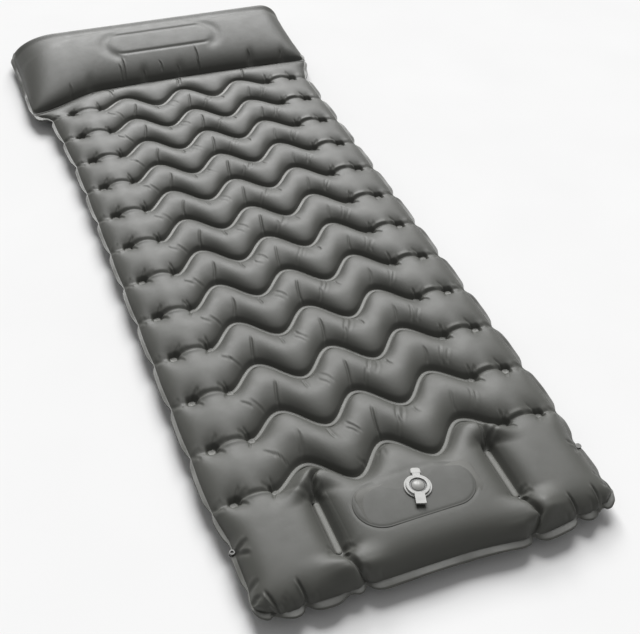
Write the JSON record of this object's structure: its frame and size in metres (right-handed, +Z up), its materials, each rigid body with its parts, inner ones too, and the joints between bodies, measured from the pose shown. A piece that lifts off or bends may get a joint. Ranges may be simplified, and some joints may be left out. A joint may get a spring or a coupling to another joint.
{
  "type": "inflatable sleeping pad",
  "caption": "Blown-up camping pad with wavy welded air tubes, a raised pillow and a built-in foot pump with a capped air valve.",
  "frame": {"origin": "on the floor, under the middle of the pad's outline", "axes": "+X across the pad, +Y along it towards the pillow, +Z up"},
  "size_m": [0.79, 1.95, 0.096],
  "materials": {
    "skin_fabric": "satin",
    "patch_fabric": "satin",
    "pouch_fabric": "satin",
    "pump_foam": "matte",
    "valve_plastic": "satin",
    "seal_rubber": "satin",
    "snap_plastic": "satin"
  },
  "bodies": {
    "pad": {"body_top_skin": "skin_fabric", "pillow_skin": "skin_fabric", "left_foot_skin": "skin_fabric", "right_foot_skin": "skin_fabric", "bottom_skin": "skin_fabric", "pump_skirt": "skin_fabric", "pump_foam": "pump_foam", "pump_pouch": "pouch_fabric", "check_seat": "valve_plastic", "release_base": "valve_plastic", "snap_socket": "snap_plastic", "socket_cap": "snap_plastic", "snap_stud": "snap_plastic", "stud_cap": "snap_plastic"},
    "pump_top": {"pump_panel": "skin_fabric", "valve_patch": "patch_fabric", "intake_base": "valve_plastic", "intake_grille": "valve_plastic"},
    "intake_cap": {"intake_cap": "valve_plastic", "intake_cap_seal": "seal_rubber"},
    "intake_flap": {"intake_flap": "seal_rubber"},
    "check_flap": {"check_flap": "seal_rubber"},
    "release_cap": {"release_cap": "valve_plastic", "release_cap_seal": "seal_rubber"}
  },
  "joints": [
    {"name": "pump_press", "type": "slide", "parent": "pad", "child": "pump_top", "axis": [0, 0, -1], "range_m": [0, 0.024], "stiffness_N_per_m": 2500, "deforming": ["pump_skirt", "pump_pouch", "pump_foam"]},
    {"name": "intake_cap_hinge", "type": "hinge", "parent": "pump_top", "child": "intake_cap", "pos_m": [0.00834, -0.80332, 0.0665], "axis": [-0.9511, 0.309, 0], "range_deg": [0, 150]},
    {"name": "intake_flap_lift", "type": "slide", "parent": "pump_top", "child": "intake_flap", "axis": [0, 0, -1], "range_m": [0, 0.0025], "stiffness_N_per_m": 40, "springref_m": -0.0005},
    {"name": "check_flap_hinge", "type": "hinge", "parent": "pad", "child": "check_flap", "pos_m": [0, -0.7916, 0.0292], "axis": [1, 0, 0], "range_deg": [0, 40], "stiffness_Nm_per_rad": 0.0005},
    {"name": "release_cap_hinge", "type": "hinge", "parent": "pad", "child": "release_cap", "pos_m": [-0.027, 0.95063, 0.05815], "axis": [0, -0.5002, 0.8659], "range_deg": [0, 150]}
  ]
}
